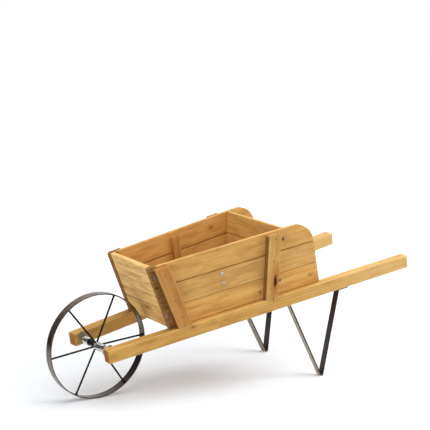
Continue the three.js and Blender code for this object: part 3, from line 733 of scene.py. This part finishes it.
screwPlaces = {}
for side, sign in sides.items():
    place = railFrame[side] @ shift(0, sign * strap["inset"], -cart["railHeight"] / 2) @ turn("X", -sign * strap["lean"])
    half = strap["spread"] / 2
    top = place @ Vector((strap["front"] + half, 0, 0))
    rows = place.to_3x3()
    tip = strap["bend"] + strap["thickness"]
    lowest = tip * math.hypot(rows[2][0], rows[2][2]) + strap["width"] / 2 * abs(rows[2][1])
    depth = (top.z - lowest) / rows[2][2]
    bend = strap["bend"] + strap["thickness"] / 2
    corner = (depth * half ** 2 + half * bend * math.sqrt(half ** 2 + depth ** 2 - bend ** 2)) / (half ** 2 - bend ** 2)
    drop = strap["thickness"] / 2 + strap["width"] / 2 * math.sin(math.radians(strap["lean"])) + cart["seatGap"]
    foot = np.array([strap["front"] + half, -corner])
    frontTop = np.array([strap["front"], 0.0])
    rearTop = np.array([strap["front"] + strap["spread"] - drop * half / corner, -drop])
    climb = (frontTop - foot) / np.linalg.norm(frontTop - foot)
    line = bentLine([frontTop + climb * strap["tenon"], foot, rearTop, rearTop + [strap["flange"], 0]], bend)
    outline, facing, _ = roundedLoop((-strap["width"] / 2, -strap["thickness"] / 2),
                                     (strap["width"] / 2, strap["thickness"] / 2), strap["corner"], 4, 2, 1)
    # The wide faces of the front branch, down to the foot, are painted paler as painted light from the floor below. Its
    # narrow edges are not.
    beforeFoot = 1 - np.clip((line[:, 0] - foot[0] + 2.0) / 4.0, 0, 1)
    pale = beforeFoot[:, None] * facing[:, 1] ** 4
    sweepPath(f"leg_{side}_strap", line, outline, legPaint, place, (f"leg_{side}",), {"pale": pale})
    screwAt = shift(rearTop[0] + strap["screwPlace"], 0, rearTop[1] - strap["thickness"] / 2 - cart["seatGap"])
    screwPlaces[f"leg_screw_{side}"] = place @ screwAt @ turn("X", 90)
print("legs made")

# ---- screws, nails and staples -------------------------------------------------------------------

screws = {
    "corner": {"head": 7.5, "shank": 3.8, "length": 34.0, "dome": 0.25, "sink": 2.2},
    "cleat": {"head": 8.5, "shank": 3.6, "length": 21.0, "dome": 2.4, "sink": 0.0},
    "leg": {"head": 8.5, "shank": 4.0, "length": 22.0, "dome": 2.6, "sink": 0.0},
    "cornerHeights": (37.0, 148.0), "cleatHeights": (79.0, 106.0),
}


def addScrew(name, size, place, twist):
    # Its head's top curves over the rim, and a cross is pressed into it that tapers to its middle.
    head, shank = size["head"] / 2, size["shank"] / 2
    crossReach, crossWidth = head * 0.64, head * 0.2

    def cross(radius, angle, height):
        a = np.abs(radius * np.cos(angle + twist))
        b = np.abs(radius * np.sin(angle + twist))
        inWidth = 1 / (1 + np.exp((np.minimum(a, b) - crossWidth) * 9 / head * 2))
        inReach = 1 / (1 + np.exp((radius - crossReach) * 9 / head * 2))
        onTop = (height < -size["dome"] * 0.2 + 0.01).astype(float)
        return onTop * inWidth * inReach, head * 0.65 * (1 - 0.5 * radius / head)

    top = [(head * t, -size["dome"] * (1 - 0.72 * t ** 4)) for t in np.linspace(0.06, 0.97, 14)]
    rim = [(head, -size["dome"] * 0.2), (head, 0.02)]
    below = [(shank, size["sink"] + 0.05), (shank, size["length"] - size["shank"]), (0.3, size["length"] - 0.2)]
    finish = screwZinc["pan" if size["dome"] > 1 else "front" if "front" in name else "rear"]
    revolve(name + "_head", top + rim + below, place, finish, 40, poles=True, stands=(name,), dent=cross)


for side, sign in sides.items():
    def onFace(along, up, outward):
        turned = turn("X", 180) if sign > 0 else Matrix.Identity(4)
        return sideFrame[side] @ shift(along, sign * (box["thickness"] + outward), up) @ turned

    for i, h in enumerate(screws["cornerHeights"]):
        frontMiddle = frontPanel(h) + box["thickness"] / 2 * frontStretch
        addScrew(f"screw_{side}_front_{i + 1}", screws["corner"], onFace(frontMiddle, h, 0.15), 0.4 + i + sign)
        addScrew(f"screw_{side}_rear_{i + 1}", screws["corner"], onFace(rearPanel(h), h, 0.15), 0.9 - i + sign)
    for i, h in enumerate(screws["cleatHeights"]):
        addScrew(f"screw_{side}_cleat_{i + 1}", screws["cleat"], onFace(inside["cleatPlace"], h, 0.1), 0.2 + 0.7 * i)
    addScrew(f"leg_screw_{side}", screws["leg"], screwPlaces[f"leg_screw_{side}"], 0.5)

nails = {
    "radius": 1.7, "dome": 0.5,
    "front": ((165.7, 153.0), (184.0, 78.4), (198.5, 29.0)),
    "rear": ((500.6, 162.0), (487.0, 101.6), (468.8, 31.3)),
    "rail": (649.0, 2.0), "staple": (472.0, -4.0, 1.3, 12.0),
}
nailProfile = [(nails["radius"] * math.sin(a), -nails["dome"] * math.cos(a) + 0.02) for a in np.radians((15, 35, 55, 75, 90))]
nailProfile += [(0.9, 0.4), (0.9, 12.0), (0.2, 13.5)]
for side, sign in sides.items():
    turned = turn("X", 180) if sign > 0 else Matrix.Identity(4)
    for label in ("front", "rear"):
        for i, (along, up) in enumerate(nails[label]):
            place = sideFrame[side] @ shift(along, sign * cart["railWidth"], up) @ turned
            revolve(f"nail_{side}_{label}_{i + 1}", nailProfile, place, nailSteel, 20, poles=True)
    place = railFrame[side] @ shift(nails["rail"][0], 0, nails["rail"][1]) @ turned
    revolve(f"nail_{side}_rail", nailProfile, place, nailSteel, 20, poles=True)
    along, up, wide, tall = nails["staple"]
    outline, _, _ = roundedLoop((-wide / 2, -tall / 2), (wide / 2, tall / 2), 0.5, 3, 1, 2)
    ring = [np.c_[outline[:, 0], np.full(len(outline), y), outline[:, 1]] for y in (-0.25, 0.0, 8.0)]
    place = sideFrame[side] @ shift(along, sign * cart["railWidth"], up) @ turned
    tips = [[0, -0.25, 0], [0, 8.0, 0]]
    makePiece(f"staple_{side}", np.array(ring), place, nailSteel, poles=tips)
print("screws, nails and staples made")

# ---- wheel ---------------------------------------------------------------------------------------

wheel = {"radius": 140.0, "rimWidth": 25.0, "rimThickness": 3.0, "corner": 0.9, "spoke": 5.0,
         "angles": (4.5, 68.3, 128.5, 188.0, 244.8, 307.3), "offsets": (-0.4, 1.8, -2.7, 1.7, -0.1, 3.6), "hub": 16.0, "hubReach": (3.0, 33.5), "grooves": ((8.5, 4.0, 1.3), (21.0, 3.0, 1.5)),
         "axle": 12.0, "runningGap": 0.1, "bead": 1.7}
wheelPlace = shift(cart["wheelX"], 0, wheel["radius"])

outline, _, _ = roundedLoop((-wheel["rimWidth"] / 2, wheel["radius"] - wheel["rimThickness"]),
                            (wheel["rimWidth"] / 2, wheel["radius"]), wheel["corner"], 4, 3, 1)
revolve("wheel_band", outline[:, ::-1], wheelPlace, rimMetal, 240, closeRows=True, body="wheel",
        stands=("wheel_rim",))

# The hub is a tube with two turned grooves. The rods are welded round its left end.
bore, hubOut = wheel["axle"] / 2 + wheel["runningGap"], wheel["hub"] / 2
hubLeft, hubRight = wheel["hubReach"]
hubProfile = roundedCorner(hubOut - 0.8, hubRight - 0.8, 0.8, 0) + [(bore + 0.3, hubRight), (bore, hubRight - 0.3)]
hubProfile += [(bore, -hubLeft + 0.3), (bore + 0.3, -hubLeft)] + roundedCorner(hubOut - 0.8, -hubLeft + 0.8, 0.8, 270)
for at, wide, deep in wheel["grooves"]:
    hubProfile += [(hubOut - deep * math.sin(t) ** 0.6, at + wide * (t / math.pi)) for t in np.linspace(0, math.pi, 9)]
revolve("wheel_hub_tube", hubProfile, wheelPlace, rodPaint, 64, closeRows=True, body="wheel",
        stands=("wheel_hub",))

rimInside = wheel["radius"] - wheel["rimThickness"]
for i, (direction, offset) in enumerate(zip(wheel["angles"], wheel["offsets"])):
    nearest = max(abs(offset) - wheel["spoke"] / 2, 0.0)
    inner = np.array([math.sqrt(hubOut ** 2 - nearest ** 2) - 0.6, offset])
    outer = np.array([rimInside + 0.3, 0.0])
    length = np.linalg.norm(outer - inner)
    t = np.r_[0, 0.4, 0.9, 1.6, 2.6, 4.0, 7.0, np.linspace(12, length - 12, 9),
              length - 7.0, length - 4.0, length - 2.4, length - 1.2, length - 0.5, length]
    bead = wheel["bead"] * (np.exp(-(t / 1.9) ** 2) + np.exp(-((length - t) / 2.1) ** 2))
    angle = np.linspace(0, 2 * math.pi, 20, endpoint=False)
    around = (wheel["spoke"] / 2 + bead)[:, None]
    grid = np.stack([t[:, None] + 0 * angle, around * np.cos(angle), around * np.sin(angle)], -1)
    tilt = math.degrees(math.atan2(outer[1] - inner[1], outer[0] - inner[0]))
    place = wheelPlace @ turn("Y", -direction) @ shift(inner[0], 0, inner[1]) @ turn("Y", -tilt)
    makePiece(f"spoke_{i + 1}", grid, place, rodPaint, "wheel", (f"wheel_spoke_{i + 1}",),
              poles=[[0, 0, 0], [length, 0, 0]])
print("wheel made")

# ---- axle ------------------------------------------------------------------------------------------

axle = {"depth": 18.0, "collar": 22.0, "leftCollar": 36.0, "rightCollar": 31.0, "edge": 1.4,
        "grub": (3.4, 7.5, -12.0)}
axleHalf = cart["railSpacing"] / 2 + axle["depth"]
rodRadius = wheel["axle"] / 2
rodProfile = [(rodRadius - 1.0, -axleHalf), (rodRadius, -axleHalf + 1.0), (rodRadius, axleHalf - 1.0), (rodRadius - 1.0, axleHalf)]
revolve("axle_bar", rodProfile, wheelPlace, zincPlate, 48, poles=True, stands=("axle_rod",))

collarOut = axle["collar"] / 2
spans = {
    "left": (-hubLeft - cart["endGap"] - axle["leftCollar"], -hubLeft - cart["endGap"]),
    "right": (hubRight + cart["endGap"], hubRight + cart["endGap"] + axle["rightCollar"]),
}
for side, (start, end) in spans.items():
    edge = axle["edge"]
    profile = (roundedCorner(collarOut - edge, end - edge, edge, 0, 5) + [(bore + 0.5, end), (bore, end - 0.5)]
               + [(bore, start + 0.5), (bore + 0.5, start)]
               + roundedCorner(collarOut - edge, start + edge, edge, 270, 5))
    revolve(f"collar_{side}_ring", profile, wheelPlace, zincPlate, 64, closeRows=True,
            stands=(f"collar_{side}",))

# Each collar is held by a small black set screw, sunk just under its surface.
width, inset, tilt = axle["grub"]
for side, sign in sides.items():
    at = spans[side][1] - inset if side == "left" else spans[side][0] + inset
    place = wheelPlace @ shift(0, at, 0) @ turn("Y", tilt) @ turn("Z", 90)
    socket = [(width * 0.22, collarOut - 1.4), (width * 0.25, collarOut - 0.3), (width * 0.32, collarOut - 0.05),
              (width * 0.47, collarOut - 0.05), (width * 0.5, collarOut - 0.3), (width * 0.5, bore + 0.6)]
    revolve(f"set_screw_{side}", socket, place, rodPaint, 24, poles=True)
for node in ("axle_plate_left", "axle_plate_right"):
    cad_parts[node].data.materials.clear()
    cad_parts[node].data.materials.append(platePaint)
print("axle made")

# ---- camera, floor and light ---------------------------------------------------------------------

view = {"azimuth": -34.2, "elevation": 11.07, "roll": 1.62, "distance": 3939.84, "focalPixels": 1463.91,
        "target": (-18.21, 0.0, 453.81), "framePixels": 430.0, "sensor": 36.0}
azimuth, elevation, roll = (math.radians(view[key]) for key in ("azimuth", "elevation", "roll"))
back = Vector((math.sin(azimuth) * math.cos(elevation), -math.cos(azimuth) * math.cos(elevation), math.sin(elevation)))
levelRight = Vector((math.cos(azimuth), math.sin(azimuth), 0))
levelUp = back.cross(levelRight)
right = levelRight * math.cos(roll) + levelUp * math.sin(roll)
up = levelUp * math.cos(roll) - levelRight * math.sin(roll)
lens = bpy.data.cameras.new("camera")
lens.sensor_width = view["sensor"]
lens.lens = view["focalPixels"] / view["framePixels"] * view["sensor"]
lens.clip_end = 200
camera = bpy.data.objects.new("camera", lens)
camera.matrix_world = Matrix.Translation((Vector(view["target"]) + back * view["distance"]) * mm) @ Matrix(
    (right, up, back)).transposed().to_4x4()
bpy.context.scene.collection.objects.link(camera)
bpy.context.scene.camera = camera
bpy.context.scene.view_settings.view_transform = "Standard"

light = {
    "top": ((0.12, -0.25, 2.3), 2.7, 52.0),
    "front": ((1.35, -0.8, 0.85), 0.9, 9.5),
    "left": ((-2.45, -0.8, 0.35), 1.4, 21.0),
    "world": 0.35, "floorGlow": 0.2, "floorColour": "E2E6EB",
    "backdrop": (0.55, 0.81, 0.0), "roomInMetal": 0.13, "sheetEnd": (0.9, 1.4),
    "roomColour": "2A2622",
}


def addArea(name, at, size, watts, aim=(0.0, 0.0, 0.22)):
    lamp = bpy.data.lights.new(name, "AREA")
    lamp.shape = "DISK"
    lamp.size = size
    lamp.energy = watts
    holder = bpy.data.objects.new(name, lamp)
    holder.matrix_world = Matrix.Translation(at) @ (Vector(at) - Vector(aim)).to_track_quat("Z", "Y").to_matrix().to_4x4()
    bpy.context.scene.collection.objects.link(holder)
    return holder


for label in ("top", "front", "left"):
    addArea(label, *light[label])

# The world is white to the camera. In metal it shows as a white backdrop with a dimmer room round it.
world = bpy.data.worlds.new("studio")
world.use_nodes = True
bpy.context.scene.world = world
tree = world.node_tree
tree.nodes.clear()
facing = addNode(tree, "VectorMath", {0: addNode(tree, "TexCoord").outputs["Generated"], 1: light["backdrop"]},
                 operation="DOT_PRODUCT").outputs["Value"]
backdrop = addNode(tree, "MapRange", {"Value": facing, "From Min": 0.45, "From Max": 0.7,
                                      "To Min": light["roomInMetal"], "To Max": 1.0}).outputs[0]
path = addNode(tree, "LightPath")
sharp = addNode(tree, "Math", {0: path.outputs["Is Glossy Ray"], 1: path.outputs["Is Transmission Ray"]}, operation="MAXIMUM")
strength = addNode(tree, "Mix", {"Factor": sharp.outputs[0], 2: light["world"], 3: backdrop}, data_type="FLOAT").outputs[0]
strength = addNode(tree, "Mix", {"Factor": path.outputs["Is Camera Ray"], 2: strength, 3: 1.0}, data_type="FLOAT").outputs[0]
sky = addNode(tree, "Background", {"Color": (1, 1, 1, 1), "Strength": strength})
addNode(tree, "OutputWorld", {"Surface": sky.outputs[0]})

# The floor is a round sheet of pale matt vinyl. Away from the cart it brightens to the background.
floorReach = 11.0
ringCount, around = 24, 96
distance = (np.linspace(0.02, 1, ringCount) ** 2 * floorReach)[:, None]
angle = np.linspace(0, 2 * math.pi, around, endpoint=False)
points = np.stack([distance * np.cos(angle), distance * np.sin(angle), 0 * distance * angle - 0.0003], -1).reshape(-1, 3)
floorMesh = bpy.data.meshes.new("floor")
floorMesh.from_pydata(points.tolist(), [], gridFaces(ringCount, around).tolist() + [list(range(around))])
floor = bpy.data.objects.new("floor", floorMesh)
bpy.context.scene.collection.objects.link(floor)
material, tree, shader = newMaterial("pale matt floor")
shader.inputs["Roughness"].default_value = 1.0
shader.inputs["Specular IOR Level"].default_value = 0.0
coords = addNode(tree, "TexCoord").outputs["Object"]
away = addNode(tree, "VectorMath", {0: coords}, operation="LENGTH").outputs["Value"]
glow = addNode(tree, "MapRange", {"Value": away, "From Min": 0.55, "From Max": 2.6,
                                  "To Min": light["floorGlow"], "To Max": 1.0}).outputs[0]
path = addNode(tree, "LightPath")
seen = addNode(tree, "Math", {0: glow, 1: path.outputs["Is Camera Ray"]}, operation="MULTIPLY").outputs[0]
sharp = addNode(tree, "Math", {0: path.outputs["Is Glossy Ray"], 1: path.outputs["Is Transmission Ray"]},
                operation="MAXIMUM").outputs[0]
# Metal sees the sheet end in a dim room some way off.
dim = addNode(tree, "MapRange", {"Value": away, "From Min": light["sheetEnd"][0], "From Max": light["sheetEnd"][1]}).outputs[0]
dim = addNode(tree, "Math", {0: sharp, 1: dim}, operation="MULTIPLY").outputs[0]
colour = addNode(tree, "Mix", {"Factor": dim, 6: toLinear(light["floorColour"]), 7: toLinear(light["roomColour"])},
                 data_type="RGBA").outputs[2]
tree.links.new(colour, shader.inputs["Base Color"])
bright = addNode(tree, "Math", {0: sharp, 1: dim}, operation="SUBTRACT").outputs[0]
sharp = addNode(tree, "Math", {0: bright, 1: light["floorGlow"]}, operation="MULTIPLY").outputs[0]
glow = addNode(tree, "Math", {0: seen, 1: sharp}, operation="ADD").outputs[0]
lit = addNode(tree, "Emission", {"Color": (1, 1, 1, 1), "Strength": glow})
both = addNode(tree, "AddShader", {0: shader.outputs[0], 1: lit.outputs[0]})
output = next(n for n in tree.nodes if n.type == "OUTPUT_MATERIAL")
tree.links.new(both.outputs[0], output.inputs["Surface"])
floorMesh.materials.append(material)
print("pieces:", pieceCount)
